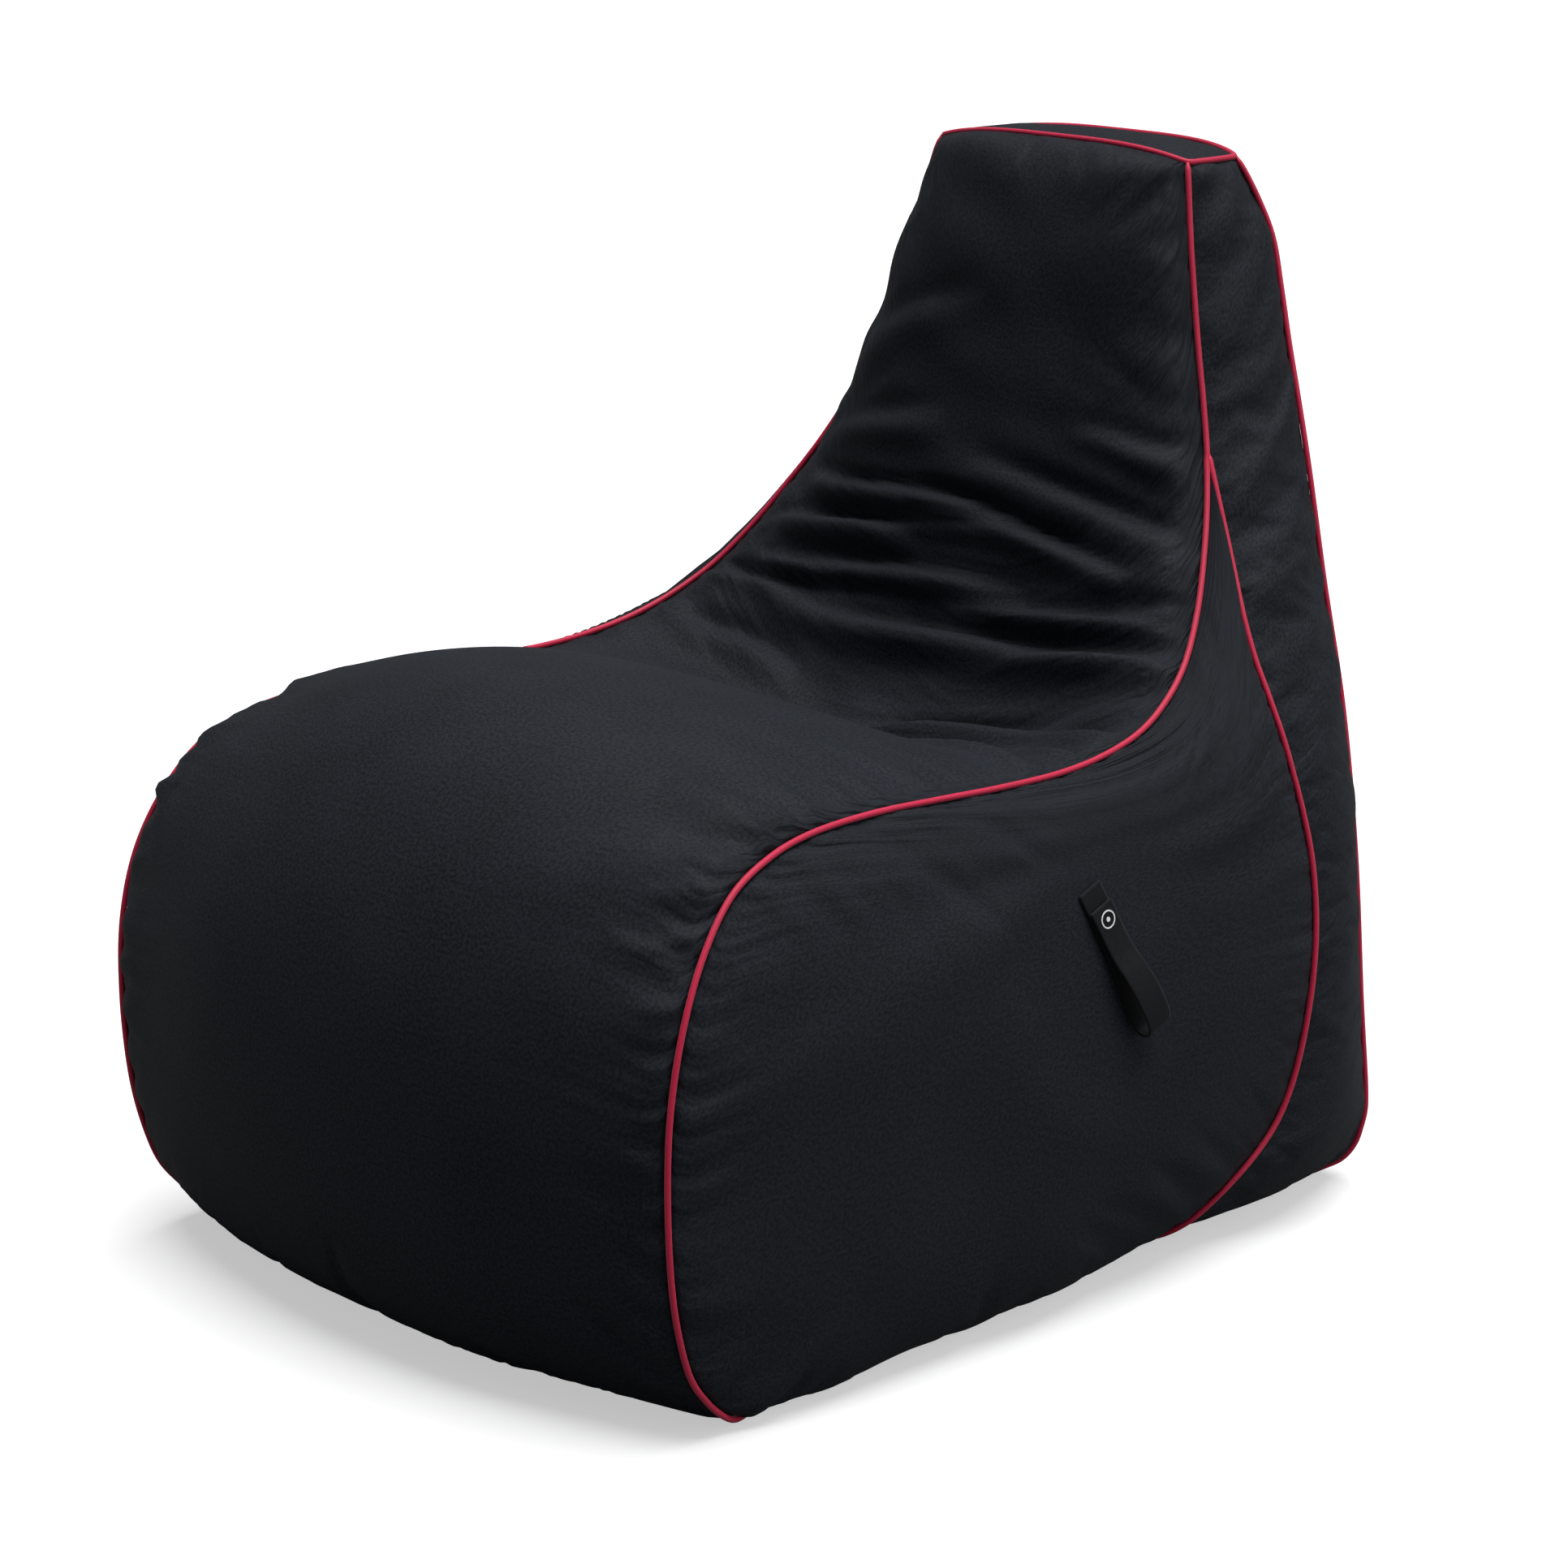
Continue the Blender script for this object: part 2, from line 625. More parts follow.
def tinted(tree, shader, share, dark, light):
    """The base colour, from dark to light by share."""
    made = tree.nodes.new("ShaderNodeMix")
    made.data_type = "RGBA"
    tree.links.new(share, made.inputs["Factor"])
    made.inputs[6].default_value = (*dark, 1)
    made.inputs[7].default_value = (*light, 1)
    tree.links.new(made.outputs[2], shader.inputs["Base Color"])


def bumped(tree, shader, height, distance, strength=0.5):
    made = node(tree, "ShaderNodeBump", Height=height, Distance=distance, Strength=strength)
    tree.links.new(made.outputs["Normal"], shader.inputs["Normal"])
    return made


def scaled(colour, factor):
    return tuple(c * factor for c in colour)


def creases(tree, place):
    """The normal of fabric that its seams pull into fine creases."""
    pull = tree.nodes.new("ShaderNodeUVMap")
    pull.uv_map = "pull"
    share = node(tree, "ShaderNodeSeparateXYZ", _0=pull.outputs[0]).outputs[0]
    squeezed = node(tree, "ShaderNodeMapping", Vector=place, Scale=(0.2, 1, 1)).outputs[0]
    sharp = node(tree, "ShaderNodeMapRange", _0=noise(tree, squeezed, 48.0, 1.5), _1=0.36, _2=0.66).outputs[0]
    height = arithmetic(tree, "MULTIPLY", sharp, share)
    return node(tree, "ShaderNodeBump", Height=height, Distance=CREASE, Strength=1.0).outputs["Normal"]


def woven(name, colour, pitch, depth, roughness, sheen, specular=0.3, contrast=0.25, creased=False):
    """Woven cloth: threads both ways, uneven yarn, and slow changes of shade."""
    material, tree, shader = new_material(name, colour, roughness, sheen, specular)
    place = fabric_place(tree)
    warp, weft = bands(tree, place, pitch, "X"), bands(tree, place, pitch, "Y")
    weave = arithmetic(tree, "MULTIPLY", warp, weft)
    yarn = noise(tree, place, 0.35 / pitch, 3.0)
    cloudy = noise(tree, place, 14.0, 3.0)
    speckle = node(tree, "ShaderNodeMapRange", _0=noise(tree, place, 0.33 / pitch, 1.0), _1=0.36, _2=0.64)
    height = arithmetic(tree, "ADD", weave, arithmetic(tree, "MULTIPLY", yarn, 0.8))
    bump = bumped(tree, shader, height, depth)
    if creased:
        tree.links.new(creases(tree, place), bump.inputs["Normal"])
    share = arithmetic(tree, "MULTIPLY", arithmetic(tree, "ADD", weave, speckle.outputs[0]), 0.4)
    share = arithmetic(tree, "ADD", share, arithmetic(tree, "MULTIPLY", cloudy, 0.3))
    tinted(tree, shader, share, scaled(colour, 1 - contrast), scaled(colour, 1 + contrast))
    matte = node(tree, "ShaderNodeMapRange", _0=cloudy, _3=roughness - 0.06, _4=roughness + 0.06)
    tree.links.new(matte.outputs[0], shader.inputs["Roughness"])
    return material


def grained(name, colour, scale, depth, roughness, specular=0.4, metallic=0.0, contrast=0.15):
    """Moulded plastic, enamel or print, with a fine grain and small changes of shade."""
    material, tree, shader = new_material(name, colour, roughness, 0.0, specular, metallic)
    place = tree.nodes.new("ShaderNodeTexCoord").outputs["Object"]
    fine = noise(tree, place, scale)
    slow = noise(tree, place, scale / 12)
    bumped(tree, shader, fine, depth, 0.4)
    tinted(tree, shader, slow, scaled(colour, 1 - contrast), scaled(colour, 1 + contrast))
    matte = node(tree, "ShaderNodeMapRange", _0=fine, _3=roughness - 0.08, _4=roughness + 0.1)
    tree.links.new(matte.outputs[0], shader.inputs["Roughness"])
    return material


cover_fabric = woven("cover_fabric", (0.0118, 0.0142, 0.0192), 0.0009, 0.00024, 0.62, 0.02, 0.1, 0.85, True)
base_fabric = woven("base_fabric", (0.011, 0.012, 0.014), 0.0014, 0.0003, 0.8, 0.05, 0.15)
piping_fabric = woven("piping_fabric", (0.49, 0.007, 0.048), 0.0006, 0.0001, 0.5, 0.15, 0.35, 0.12)
webbing = woven("webbing", (0.0062, 0.0068, 0.0084), 0.0016, 0.0003, 0.7, 0.05, 0.12)
hook_and_loop = woven("hook_and_loop", (0.006, 0.0065, 0.007), 0.0011, 0.0006, 0.9, 0.3, 0.1)
zip_tape = woven("zip_tape", (0.008, 0.0085, 0.0095), 0.0008, 0.0002, 0.7, 0.1, 0.2)
thread = woven("thread", (0.013, 0.014, 0.016), 0.0005, 0.0001, 0.55, 0.2, 0.3)
liner_fabric = woven("liner_fabric", (0.68, 0.68, 0.64), 0.0007, 0.0001, 0.85, 0.1, 0.2, 0.06)
zip_coil = grained("zip_coil", (0.012, 0.0125, 0.014), 2500, 0.00005, 0.38)
zip_metal = grained("zip_metal", (0.09, 0.095, 0.1), 3000, 0.00003, 0.34, 0.5, 0.85)
badge_print = grained("badge_print", (0.8, 0.8, 0.8), 4000, 0.00004, 0.5, 0.3, 0.0, 0.05)
beads = grained("beads", (0.86, 0.86, 0.83), 260, 0.0012, 0.6, 0.3, 0.0, 0.08)


# ---- the cover settles: cloth with its seams held and air pressure inside ----
SETTLE_FRAMES = 20
SETTLE_CAP = 0.009


def blurred(values, times):
    """Values over a grid, each averaged with its neighbours, with the outline left out."""
    for axis in (0, 1):
        for _ in range(times):
            before = np.take(values, [0, *range(values.shape[axis] - 1)], axis)
            after = np.take(values, [*range(1, values.shape[axis]), values.shape[axis] - 1], axis)
            values = (before + 2 * values + after) / 4
    left = np.linspace(0, 1, values.shape[1])
    up = np.linspace(0, 1, values.shape[0])[:, None]
    edge = np.minimum(np.minimum(left, 1 - left) * values.shape[1], np.minimum(up, 1 - up) * values.shape[0])
    return values * (1 - np.exp(-edge / 2))[..., None]


def calmed(grid, plain, place, reach):
    """A grid that lies as plain as its surface close to a place, so that what is fixed there stays clear."""
    gap = np.linalg.norm(plain - place, axis=-1)
    return mixed(plain - normals(plain) * 0.0004, grid, ramp(gap, reach, 1.9 * reach))


def settled(shapes):
    """The panels' grids after a cloth simulation of the whole cover, none moved further than the cap."""
    counts = [grid.shape[0] * grid.shape[1] for grid in shapes.values()]
    starts = np.append(0, np.cumsum(counts))
    points = np.concatenate([grid.reshape(-1, 3) for grid in shapes.values()])
    faces = np.concatenate([grid_faces(*g.shape[:2]) + s for g, s in zip(shapes.values(), starts)])
    mesh = bpy.data.meshes.new("settling")
    mesh.from_pydata(points.tolist(), [], faces.tolist())
    obj = bpy.data.objects.new("settling", mesh)
    bpy.context.scene.collection.objects.link(obj)
    held = obj.vertex_groups.new(name="seams")
    for grid, start in zip(shapes.values(), starts):
        held.add((border(*grid.shape[:2]) + start).tolist(), 1.0, "REPLACE")
    cloth = obj.modifiers.new("cloth", "CLOTH")
    settings = cloth.settings
    settings.vertex_group_mass = "seams"
    settings.quality = 4
    settings.mass = 0.15
    settings.tension_stiffness = settings.compression_stiffness = 12
    settings.shear_stiffness = 4
    settings.bending_stiffness = 0.4
    settings.shrink_min = settings.shrink_max = -0.012
    settings.use_pressure = True
    settings.uniform_pressure_force = 4
    settings.effector_weights.gravity = 0
    cloth.collision_settings.use_collision = False
    scene = bpy.context.scene
    for number in range(1, SETTLE_FRAMES + 1):
        scene.frame_set(number)
    result = obj.evaluated_get(bpy.context.evaluated_depsgraph_get())
    moved = np.empty(len(points) * 3)
    result.data.vertices.foreach_get("co", moved)
    scene.frame_set(1)
    bpy.data.objects.remove(obj)
    step = moved.reshape(-1, 3) - points
    length = np.linalg.norm(step, axis=1, keepdims=True)
    step *= SETTLE_CAP * np.tanh(length / SETTLE_CAP) / np.maximum(length, 1e-9)
    done = {}
    for (name, grid), start, end in zip(shapes.items(), starts[:-1], starts[1:]):
        moves = step[start:end].reshape(grid.shape)
        left, right, _ = distances(grid)
        wide = ramp(left + right, 0.03, 0.12)[..., None]
        done[name] = grid + wide * (moves - 0.85 * blurred(moves, 14))
        done[name][..., 2] = np.maximum(done[name][..., 2], LOWEST)
    return done


# ---- the cover and its piping ----
def make_cover(shapes):
    for name, grid in shapes.items():
        cloth_panel(name, grid, cover_fabric)


def make_base():
    """The floor panel, its edges turned up to meet the hems."""
    flank = np.concatenate(
        [patch(side_surface, np.linspace(0, 1, 60), [0.0])[0], patch(gusset_surface, np.linspace(0, 1, 26), [0.0])[0][1:]]
    )
    reach = 2 * WIDE - 1
    along = np.linspace(0, 1, len(flank))[:, None]
    depth = seat_middle(0)[1] - front_seam(0)[1]
    grid = np.empty((len(flank), len(WIDE), 3))
    grid[..., 0] = flank[:, :1] * reach
    grid[..., 1] = flank[:, 1:2] + depth * np.maximum(0, 1 - 3 * along) * (1 - np.abs(reach) ** 2.1)
    grid[..., 2] = 0
    left, right, low = distances(grid)
    edge = np.minimum(np.minimum(left, right), np.minimum(low, low[-1:] - low))
    sag = 0.0008 + 0.0007 * waves(grid[..., 0], grid[..., 1], 71, 0.08, 0.2)
    hem = front_seam(0)[2]
    grid[..., 2] = 0.0012 + np.clip(sag, 0, 0.002) * ramp(edge, 0.004, 0.02) + hem * np.exp(-edge / 0.004)
    cloth_panel("base_panel", grid, base_fabric)


def outward(*grids_and_sides):
    """Which way a seam faces: the middle way between the panels that meet there."""
    total = sum(normals(grid)[:, column] for grid, column in grids_and_sides)
    return total / np.linalg.norm(total, axis=1)[:, None]


PROUD = 0.0014  # how far the piping stands out from the seam's line


def piping_lines():
    """Each cord's line on the right side, and which way it faces."""
    low, high = all_rows[all_rows <= JUNCTION], all_rows[all_rows > JUNCTION]
    seat = patch(seat_surface, WIDE, all_rows)
    side = patch(side_surface, SIDEWAYS, low)
    gusset = patch(gusset_surface, GUSSET, all_rows)
    back = flipped(patch(back_surface, WIDE, all_rows))
    beside = np.concatenate([normals(side)[:-1, 0], normals(gusset)[len(low) - 1 :, 0]])
    front_out = normals(seat)[:, -1] + beside
    side_out = normals(side)[:-2, -1] + normals(gusset)[: len(low) - 2, 0]
    side_out = np.concatenate([side_out, side_out[-1:], side_out[-1:]])
    back_out = normals(gusset)[:, -1] + normals(back)[:, 0]
    lines = {
        "front_piping": (seat[:, -1], front_out),
        "side_piping": (gusset[: len(low), 0], side_out),
        "back_piping": (gusset[:, -1], back_out),
    }
    return lines


def make_piping():
    for name, (line, out) in piping_lines().items():
        out = out / np.linalg.norm(out, axis=1)[:, None]
        fade = np.clip((UP - 0.0 - all_rows[: len(line)]) / 0.4, 0, 1) if len(line) == len(all_rows) else 1
        for side, turn in (("right", np.array([1, 1, 1])), ("left", np.array([-1, 1, 1]))):
            place = line + out * PROUD * np.reshape(fade, (-1, 1))
            node_name = f"{name}_{side}"
            cord = (node_name + "_cord", place * turn, out * turn, PIPING_RADIUS, piping_fabric, "cover")
            tube(*cord, (node_name,), "piping_fabric")
    us = np.linspace(0, 1, 70)
    depths = np.linspace(0, 1, 26)
    loop = [top_surface(us, np.zeros(70)), top_surface(np.ones(26), depths)[1:]]
    loop += [top_surface(us[::-1], np.ones(70))[1:], top_surface(np.zeros(26), depths[::-1])[1:-1]]
    line = np.concatenate(loop)
    for _ in range(3):
        line = (np.roll(line, 1, 0) + 2 * line + np.roll(line, -1, 0)) / 4
    out = line - line.mean(0)
    out[:, 2] = 0.12
    out /= np.linalg.norm(out, axis=1)[:, None]
    tube("top_piping_cord", line, out, PIPING_RADIUS, piping_fabric, "cover", ("top_piping",), "piping_fabric", True)


# ---- liner and filling ----
def closed_skin(depth, relief):
    """The whole cover as one closed skin, sunk by depth and uneven by relief."""
    wide, sideways = np.linspace(0, 1, 33), np.linspace(0, 1, 29)
    gusset_us = np.linspace(0, 1, 11)
    rows = np.append(np.arange(0, UP, 0.5), UP)
    low = rows[rows <= JUNCTION]
    side = patch(side_surface, sideways, low)
    gusset = patch(gusset_surface, gusset_us, rows)
    grids = [patch(seat_surface, wide, rows), flipped(patch(back_surface, wide, rows))]
    grids += [patch(top_surface, wide, gusset_us), side, mirrored(side), gusset, mirrored(gusset)]
    flank = np.concatenate([side[0], gusset[0][1:]])
    reach = 2 * wide - 1
    along = np.linspace(0, 1, len(flank))[:, None]
    floor = np.empty((len(flank), len(wide), 3))
    bow = seat_middle(0)[1] - front_seam(0)[1]
    floor[..., 0] = -flank[:, :1] * reach
    floor[..., 1] = flank[:, 1:2] + bow * np.maximum(0, 1 - 3 * along) * (1 - np.abs(reach) ** 2.1)
    floor[..., 2] = front_seam(0)[2]
    grids.append(floor)
    starts = np.append(0, np.cumsum([g.shape[0] * g.shape[1] for g in grids]))
    points = np.concatenate([g.reshape(-1, 3) for g in grids])
    faces = np.concatenate([grid_faces(*g.shape[:2]) + s for g, s in zip(grids, starts)])
    mesh = bpy.data.meshes.new("skin")
    mesh.from_pydata(points.tolist(), [], faces.tolist())
    joined = bmesh.new()
    joined.from_mesh(mesh)
    bmesh.ops.remove_doubles(joined, verts=joined.verts, dist=0.0015)
    bmesh.ops.recalc_face_normals(joined, faces=joined.faces)
    joined.normal_update()
    turned = np.array([v.normal for v in joined.verts])
    points = np.array([v.co for v in joined.verts])
    kept = [[v.index for v in f.verts] for f in joined.faces]
    joined.free()
    bpy.data.meshes.remove(mesh)
    lift = relief * waves(points[:, 0] + points[:, 1], points[:, 2] + 0.5 * points[:, 1], 81, 0.03, 0.09)
    return points - turned * (depth - lift)[:, None], kept


def make_inside():
    for name, node_name, depth, relief, material, slot, fill in (
        ("liner_bag", "inner_liner", 0.021, 0.0012, liner_fabric, "liner_fabric", 0.8),
        ("bead_mass", "bead_filling", 0.026, 0.0008, beads, "beads", 0.8),
    ):
        points, faces = closed_skin(depth, relief)
        obj = bpy.data.objects.new(name, bpy.data.meshes.new(name))
        obj.data.from_pydata(points.tolist(), [], faces)
        obj.data.polygons.foreach_set("use_smooth", [True] * len(faces))
        corners = np.empty(len(obj.data.loops), int)
        obj.data.loops.foreach_get("vertex_index", corners)
        place = np.stack([points[:, 0] + points[:, 1], points[:, 2]], -1)[corners]
        obj.data.uv_layers.new(name="fabric").data.foreach_set("uv", place.ravel())
        obj.data.materials.append(material)
        bpy.context.scene.collection.objects.link(obj)
        evened = obj.modifiers.new("evened", "SMOOTH")
        evened.iterations = 6
        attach(obj, "cover")
        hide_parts(node_name)


# ---- small parts ----
def softened(name, node_name, width, material, body, segments=3):
    """A CAD node's shape with its edges rounded."""
    mesh = frame["nodes"][node_name].data.copy()
    obj = bpy.data.objects.new(name, mesh)
    bpy.context.scene.collection.objects.link(obj)
    mesh.materials.clear()
    mesh.materials.append(material)
    weld = obj.modifiers.new("weld", "WELD")
    weld.merge_threshold = 1e-5
    bevel = obj.modifiers.new("bevel", "BEVEL")
    bevel.width = width
    bevel.segments = segments
    bevel.limit_method = "ANGLE"
    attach(obj, body)
    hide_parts(node_name)
    return obj


def stitches(name, line, out, body, pitch=0.0034, length=0.0026, radius=0.00035):
    """A row of stitches lying on a line, each a short thread that bows out and goes back in."""
    run = np.append(0, np.cumsum(np.linalg.norm(np.diff(line, axis=0), axis=1)))
    points, faces, uvs = [], [], []
    shape = np.linspace(-0.5, 0.5, 5)
    turn = np.linspace(0, 2 * np.pi, 6, endpoint=False)
    for start in np.arange(0.4 * pitch, run[-1] - 0.4 * pitch, pitch):
        where = start + shape * length
        centre = np.stack([np.interp(where, run, line[:, k]) for k in range(3)], -1)
        face = np.stack([np.interp(where, run, out[:, k]) for k in range(3)], -1)
        centre = centre + face * (radius * (1.2 - 6.4 * shape**2))[:, None]
        up, across = frames(centre, face)
        ring = up[:, None] * np.cos(turn)[:, None] + across[:, None] * np.sin(turn)[:, None]
        thick = radius * np.array([0.6, 1, 1, 1, 0.6])
        first = 30 * len(points)
        points.append((centre[:, None] + ring * thick[:, None, None]).reshape(-1, 3))
        faces += (grid_faces(5, 6, closed=True)[:, ::-1] + first).tolist()
        faces += [[first + k for k in range(6)], [first + 29 - k for k in range(6)]]
        uvs.append(np.stack(np.broadcast_arrays(turn * radius, where[:, None]), -1).reshape(-1, 2))
    obj = bpy.data.objects.new(name, bpy.data.meshes.new(name))
    obj.data.from_pydata(np.concatenate(points).tolist(), [], faces)
    obj.data.polygons.foreach_set("use_smooth", [True] * len(faces))
    corners = np.empty(len(obj.data.loops), int)
    obj.data.loops.foreach_get("vertex_index", corners)
    obj.data.uv_layers.new(name="fabric").data.foreach_set("uv", np.concatenate(uvs)[corners].ravel())
    obj.data.materials.append(thread)
    bpy.context.scene.collection.objects.link(obj)
    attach(obj, body)
    return obj


# ---- the zip ----
def make_tape(name, node_name, towards_coil):
    """A zip tape with a raised rib beside its coil."""
    low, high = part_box(node_name)
    us, vs = np.linspace(low.x, high.x, 240), np.linspace(low.z, high.z, 14)
    x, z = np.meshgrid(us, vs)
    t = (z - low.z) / (high.z - low.z)
    near = 1 - t if towards_coil < 0 else t
    rib = 0.0003 * np.exp(-(((near - 0.82) / 0.08) ** 2))
    y = high.y - 0.0003 + rib + 0.0002 * waves(x, z * 0.3, 91, 0.03, 0.08)
    grid = flipped(np.stack([x, y, z], -1))
    under = grid - [0, 0.0006, 0]
    points = np.concatenate([grid.reshape(-1, 3), under.reshape(-1, 3)])
    uv = np.tile(fabric_uv(grid), (2, 1))
    obj = piece(name, points, cloth_faces(*grid.shape[:2]), zip_tape, "cover", uv, (node_name,))


TOOTH_PITCH = 0.002


def make_teeth(name, node_name, phase):
    """One half of the coil: a row of rounded loops of nylon, linked with the other half's."""
    low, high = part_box(node_name)
    middle_y, middle_z = (low.y + high.y) / 2, (low.z + high.z) / 2
    reach_z, reach_y, thick = (high.z - low.z) / 2 + 0.0003, (high.y - low.y) / 2 - 0.0003, 0.00038
    turn = np.linspace(0, 2 * np.pi, 12, endpoint=False)
    section = np.linspace(0, 2 * np.pi, 6, endpoint=False)
    across = np.stack([0 * turn, reach_y * np.sin(turn), reach_z * np.cos(turn)], -1)
    out = across / np.linalg.norm(across, axis=1)[:, None]
    loop = across[:, None] + thick * (out[:, None] * np.cos(section)[:, None] + np.array([1.0, 0, 0]) * np.sin(section)[:, None])
    points, faces = [], []
    face = grid_faces(12, 6, closed=True)[:, ::-1].tolist()
    face += [[66 + s, s, (s + 1) % 6, 66 + (s + 1) % 6][::-1] for s in range(6)][:0]
    wrap = [[66 + s, 66 + (s + 1) % 6, (s + 1) % 6, s][::-1] for s in range(6)]
    for x in np.arange(low.x + 0.001 + phase, high.x - 0.001, TOOTH_PITCH):
        first = 72 * len(points)
        points.append((loop + [x, middle_y, middle_z]).reshape(-1, 3))
        faces += [[first + k for k in f] for f in face + wrap]
    obj = bpy.data.objects.new(name, bpy.data.meshes.new(name))
    obj.data.from_pydata(np.concatenate(points).tolist(), [], faces)
    obj.data.polygons.foreach_set("use_smooth", [True] * len(faces))
    obj.data.materials.append(zip_coil)
    bpy.context.scene.collection.objects.link(obj)
    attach(obj, "cover")
    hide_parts(node_name)


def make_zip():
    make_tape("zip_tape_upper_weave", "zip_tape_upper", -1)
    make_tape("zip_tape_lower_weave", "zip_tape_lower", 1)
    make_teeth("zip_teeth_upper", "zip_coil_upper", 0)
    make_teeth("zip_teeth_lower", "zip_coil_lower", TOOTH_PITCH / 2)
    for side in ("right", "left"):
        softened(f"zip_stop_{side}_crimp", f"zip_stop_{side}", 0.0005, zip_metal, "cover")
    slider = softened("zip_slider_body", "zip_slider", 0.0006, zip_metal, "zip_pull")
    low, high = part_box("zip_slider")
    middle = (low + high) / 2
    ts = np.linspace(0, np.pi, 24)
    bridge = np.stack([middle.x + 0.0036 * np.cos(ts), high.y - 0.0004 + 0.0016 * np.sin(ts), middle.z + 0 * ts], -1)
    out = np.stack([0 * ts, np.sin(ts) + 0.01, np.cos(ts) * 0], -1) + [0, 0, 0.001]
    crown = tube("zip_slider_crown", bridge, out, 0.0007, zip_metal, "zip_pull", (), "zip_metal")
    return slider, crown


def make_zip_stitching(shapes):
    for name, grid, row in (("upper", shapes["back_panel"], 1), ("lower", shapes["lower_back_panel"], -2)):
        line, out = grid[row], normals(grid)[row]
        inside = np.abs(line[:, 0]) < ZIP_HALF + 0.03
        stitches(f"zip_stitches_{name}", line[inside], out[inside], "cover")


# ---- the headset strap ----
SIDEWAYS_AXIS = np.array([j["axis"] for j in frame["joints"] if j["name"] == "flap_open"][0])
SIDEWAYS_AXIS = SIDEWAYS_AXIS / np.linalg.norm(SIDEWAYS_AXIS)
STRAP_WIDTH = 0.025
WEBBING = 0.0014


def strap_line(*nodes):
    """The middle line of runs of webbing, from the top down."""
    points = np.concatenate([vertices(n) for n in nodes])
    place = points @ SIDEWAYS_AXIS
    edge = points[place > place.mean()]
    middles = walk(cluster(edge, 2 * WEBBING))
    return middles - SIDEWAYS_AXIS * STRAP_WIDTH / 2


def resampled(line, step):
    run = np.append(0, np.cumsum(np.linalg.norm(np.diff(line, axis=0), axis=1)))
    at = smooth(run, line)
    return at(np.linspace(0, run[-1], max(3, round(run[-1] / step))))


def ribbon(name, line, twist, ends=()):
    """Webbing along a line: its grid of points, facing out from the chair."""
    along = np.gradient(line, axis=0)
    along /= np.linalg.norm(along, axis=1)[:, None]
    face = np.cross(SIDEWAYS_AXIS, along)
    across = np.linspace(-0.5, 0.5, 15) * STRAP_WIDTH
    run = np.append(0, np.cumsum(np.linalg.norm(np.diff(line, axis=0), axis=1)))
    bow = twist * np.sin(2 * np.pi * run / run[-1])[:, None] * (across / STRAP_WIDTH)
    grid = line[:, None] + across[:, None] * SIDEWAYS_AXIS + face[:, None] * bow[..., None]
    return grid, face


def make_ribbon(name, line, twist, replaces, out_sign):
    grid, face = ribbon(name, line, twist)
    n = normals(grid)
    thick = WEBBING / 2 * (1 - 0.25 * np.abs(np.linspace(-1, 1, grid.shape[1])) ** 8)[None, :, None]
    points = np.concatenate([(grid + n * thick).reshape(-1, 3), (grid - n * thick).reshape(-1, 3)])
    uv = np.tile(fabric_uv(grid), (2, 1))
    obj = piece(name, points, cloth_faces(*grid.shape[:2]), webbing, None, uv, replaces)
    return obj, grid


def joint_place(name):
    return np.array([j["pos_m"] for j in frame["joints"] if j["name"] == name][0])


def make_strap():
    down = np.cross(SIDEWAYS_AXIS, [1, 0, 0])
    down *= np.sign(-down[2])
    back_line = resampled(strap_line("strap_anchor", "strap_back_run"), 0.0022)
    front_line = resampled(strap_line("strap_front_run"), 0.0022)
    back, back_grid = make_ribbon("strap_back_webbing", back_line, 0.0008, ("strap_anchor", "strap_back_run"), 1)
    front, front_grid = make_ribbon("strap_front_webbing", front_line, 0.0016, ("strap_front_run",), 1)
    swing, flap = joint_place("strap_swing"), joint_place("flap_open")
    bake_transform(back)
    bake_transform(front)
    softened("strap_hook_tape", "strap_hook_pad", 0.0003, hook_and_loop, "strap_back", 2)
    softened("strap_loop_tape", "strap_loop_pad", 0.0003, hook_and_loop, "strap_front", 2)
    softened("strap_badge_print_ring", "strap_badge_ring", 0.0001, badge_print, "strap_front", 2)
    softened("strap_badge_print_dot", "strap_badge_dot", 0.0001, badge_print, "strap_front", 2)


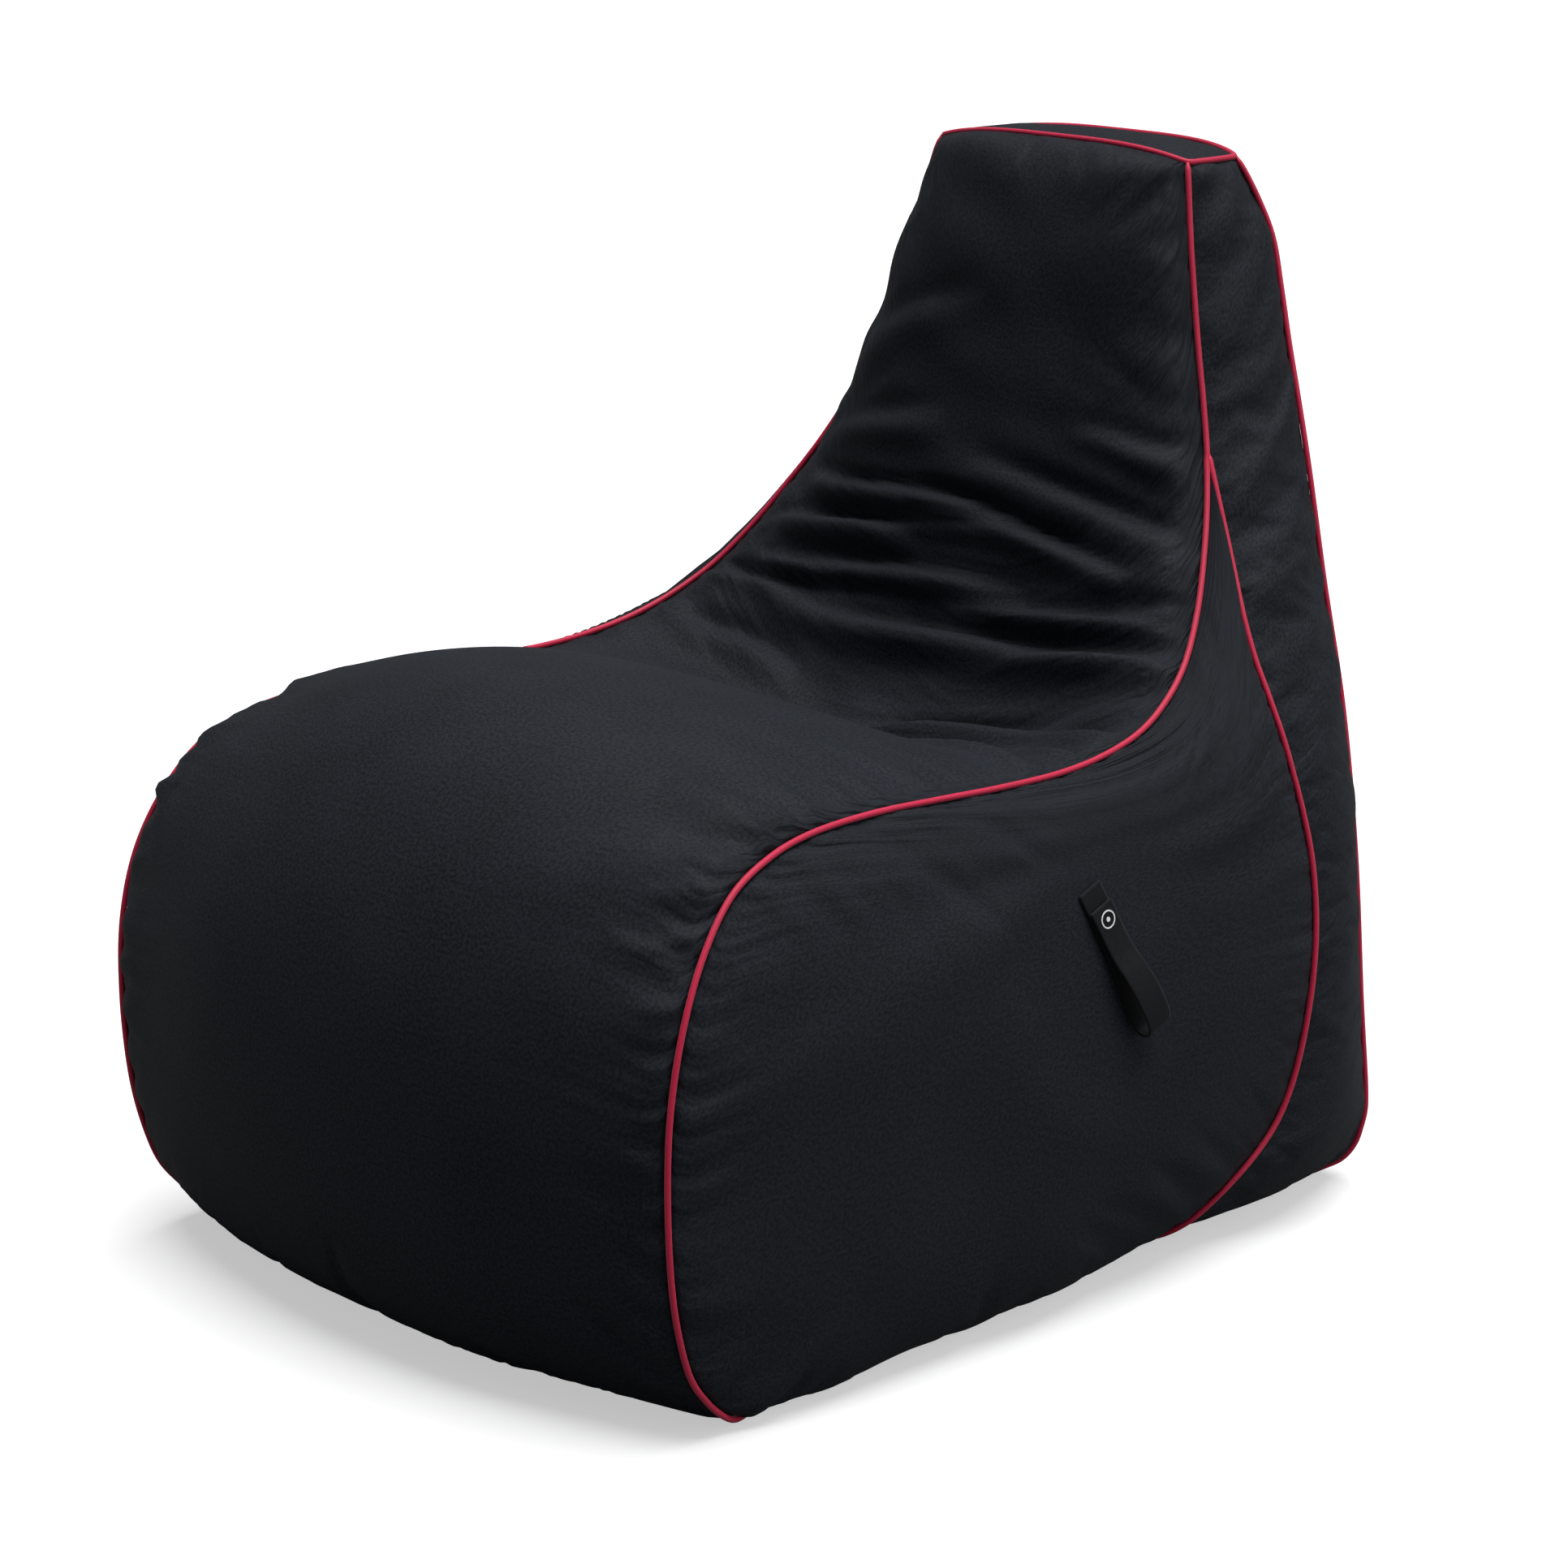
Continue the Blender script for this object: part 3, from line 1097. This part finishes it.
# ---- floor, lights and camera ----
def make_floor():
    size = 30
    points = [[-size, -size, 0], [size, -size, 0], [size, size, 0], [-size, size, 0]]
    material, tree, shader = new_material("floor", (0.93, 0.93, 0.935), 0.9, 0.0, 0.05)
    place = tree.nodes.new("ShaderNodeTexCoord").outputs["Object"]
    tinted(tree, shader, noise(tree, place, 3.0), (0.55, 0.55, 0.555), (0.57, 0.57, 0.575))
    # The pale floor would light the chair from below, so only the camera sees it at its full brightness.
    seen = tree.nodes.new("ShaderNodeLightPath").outputs["Is Camera Ray"]
    pale = shader.inputs["Base Color"].links[0].from_socket
    shade = tree.nodes.new("ShaderNodeMix")
    shade.data_type = "RGBA"
    tree.links.new(seen, shade.inputs["Factor"])
    shade.inputs[6].default_value = (0.16, 0.16, 0.16, 1)
    tree.links.new(pale, shade.inputs[7])
    tree.links.new(shade.outputs[2], shader.inputs["Base Color"])
    shader.inputs["Emission Color"].default_value = (1, 1, 1, 1)
    glow = node(tree, "ShaderNodeMapRange", _0=seen, _3=0.0, _4=0.5).outputs[0]
    tree.links.new(glow, shader.inputs["Emission Strength"])
    floor = piece("floor", points, [[0, 1, 2, 3]], material)


def make_light(name, towards, strength, spread):
    """A broad soft light from far away in one direction."""
    light = bpy.data.lights.new(name, "SUN")
    light.energy = strength
    light.angle = spread
    obj = bpy.data.objects.new(name, light)
    obj.rotation_euler = Vector(towards).to_track_quat("Z", "Y").to_euler()
    bpy.context.scene.collection.objects.link(obj)


def make_studio():
    make_floor()
    make_light("overhead", (0.1, 0.08, 1), 4.2, 0.95)
    make_light("right_fill", (1, 0.3, 0.5), 0.8, 0.9)
    world = bpy.data.worlds.new("studio")
    world.use_nodes = True
    backdrop = world.node_tree.nodes["Background"]
    backdrop.inputs["Color"].default_value = (1, 1, 1, 1)
    seen = world.node_tree.nodes.new("ShaderNodeLightPath").outputs["Is Camera Ray"]
    strength = node(world.node_tree, "ShaderNodeMapRange", _0=seen, _3=0.13, _4=1.0).outputs[0]
    world.node_tree.links.new(strength, backdrop.inputs["Strength"])
    bpy.context.scene.world = world
    bpy.context.scene.view_settings.view_transform = "Standard"


def make_camera():
    azimuth, elevation = math.radians(45.595), math.radians(15.347)
    back = Vector(
        (
            math.sin(azimuth) * math.cos(elevation),
            -math.cos(azimuth) * math.cos(elevation),
            math.sin(elevation),
        )
    )
    data = bpy.data.cameras.new("camera")
    data.lens = 95.98
    data.sensor_width = 36
    camera = bpy.data.objects.new("camera", data)
    camera.location = (2.40404, -2.31838, 1.29067)
    camera.rotation_euler = back.to_track_quat("Z", "Y").to_euler()
    bpy.context.scene.collection.objects.link(camera)
    bpy.context.scene.camera = camera


make_camera()
shapes = cover_grids()
shapes = settled(shapes)
strap_low, strap_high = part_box("strap_back_run")
plain_side = patch(side_surface, SIDEWAYS, side_panel_rows)
strap_middle = np.array((strap_low + strap_high) / 2)
shapes["side_panel_right"] = calmed(shapes["side_panel_right"], plain_side, strap_middle, 0.075)
make_cover(shapes)
make_base()
make_piping()
make_inside()
make_zip()
make_zip_stitching(shapes)
make_strap()
make_studio()
